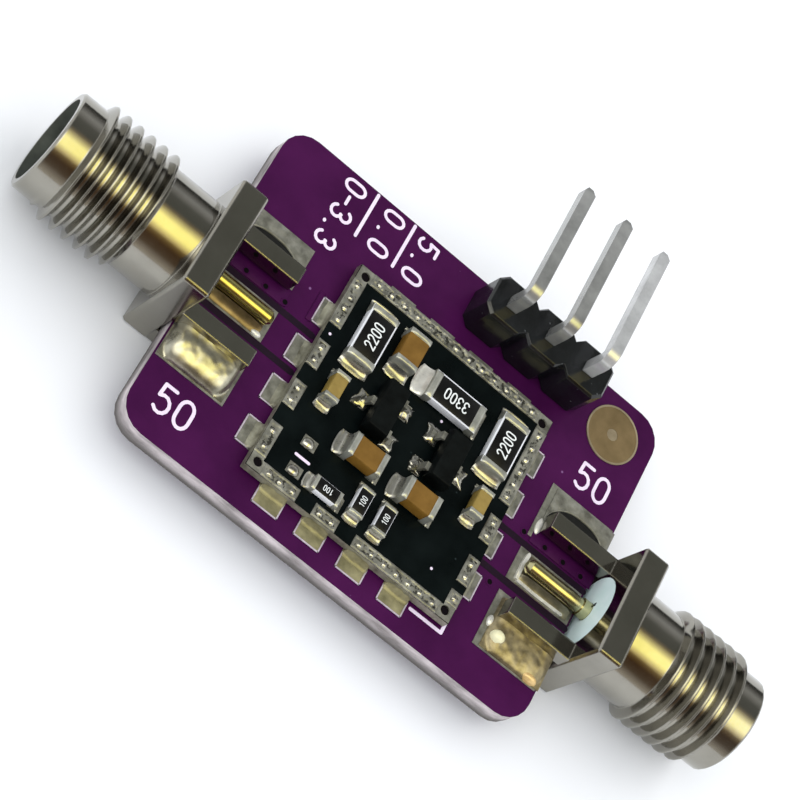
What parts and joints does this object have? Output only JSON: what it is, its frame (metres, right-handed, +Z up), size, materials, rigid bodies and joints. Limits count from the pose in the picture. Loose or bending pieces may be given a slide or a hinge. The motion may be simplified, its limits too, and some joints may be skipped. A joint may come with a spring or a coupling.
{
  "type": "rf attenuator module",
  "caption": "Small circuit board with a threaded coaxial jack over each short end, a right-angle pin header and a soldered-on attenuator board that weakens a radio signal passing through.",
  "frame": {"origin": "under the middle of the module's outline, on the plane of the two jack flanges' undersides that it stands on", "axes": "+X along the jacks, towards the right-hand jack; +Y towards the pin header's free ends; +Z up out of the populated face"},
  "size_m": [0.0438, 0.0242, 0.0069],
  "materials": {
    "carrier_board": "purple solder mask on glass-epoxy laminate",
    "attenuator_board": "black solder mask on glass-epoxy laminate, tinned edge lands",
    "jack_shell": "bright nickel plate",
    "insulator": "white fluoropolymer",
    "contact": "gold plate",
    "solder": "bright solder",
    "header_plastic": "moulded black",
    "header_pin": "tin plate",
    "chip_resistor": "white ceramic with a black face and tinned ends",
    "brown_capacitor": "brown ceramic with tinned ends",
    "tan_capacitor": "tan ceramic with tinned ends",
    "diode_body": "moulded black epoxy",
    "diode_lead": "tinned"
  },
  "bodies": {
    "root": {"carrier_board": "carrier_board", "attenuator_board": "attenuator_board", "left_jack_body": "jack_shell", "left_jack_insulator": "insulator", "left_jack_contact": "contact", "left_jack_contact_solder": "solder", "left_jack_rear_leg_solder": "solder", "left_jack_front_leg_solder": "solder", "left_jack_rear_under_solder": "solder", "left_jack_front_under_solder": "solder", "right_jack_body": "jack_shell", "right_jack_insulator": "insulator", "right_jack_contact": "contact", "right_jack_contact_solder": "solder", "right_jack_rear_leg_solder": "solder", "right_jack_front_leg_solder": "solder", "right_jack_rear_under_solder": "solder", "right_jack_front_under_solder": "solder", "header_housing": "header_plastic", "header_pin_1": "header_pin", "header_pin_2": "header_pin", "header_pin_3": "header_pin", "header_solder_1": "solder", "header_solder_2": "solder", "header_solder_3": "solder", "large_resistor_1": "chip_resistor", "large_resistor_2": "chip_resistor", "large_resistor_3": "chip_resistor", "small_resistor_1": "chip_resistor", "small_resistor_2": "chip_resistor", "small_resistor_3": "chip_resistor", "large_capacitor_1": "brown_capacitor", "large_capacitor_2": "brown_capacitor", "large_capacitor_3": "brown_capacitor", "small_capacitor_1": "tan_capacitor", "small_capacitor_2": "tan_capacitor", "diode_1_body": "diode_body", "diode_1_lead_1": "diode_lead", "diode_1_lead_2": "diode_lead", "diode_1_lead_3": "diode_lead", "diode_2_body": "diode_body", "diode_2_lead_1": "diode_lead", "diode_2_lead_2": "diode_lead", "diode_2_lead_3": "diode_lead", "edge_solder_left_1": "solder", "edge_solder_left_2": "solder", "edge_solder_left_3": "solder", "edge_solder_left_4": "solder", "edge_solder_right_1": "solder", "edge_solder_right_2": "solder", "edge_solder_right_3": "solder", "edge_solder_right_4": "solder", "edge_solder_front_1": "solder", "edge_solder_front_2": "solder", "edge_solder_front_3": "solder", "edge_solder_front_4": "solder", "edge_solder_rear": "solder"}
  },
  "joints": []
}
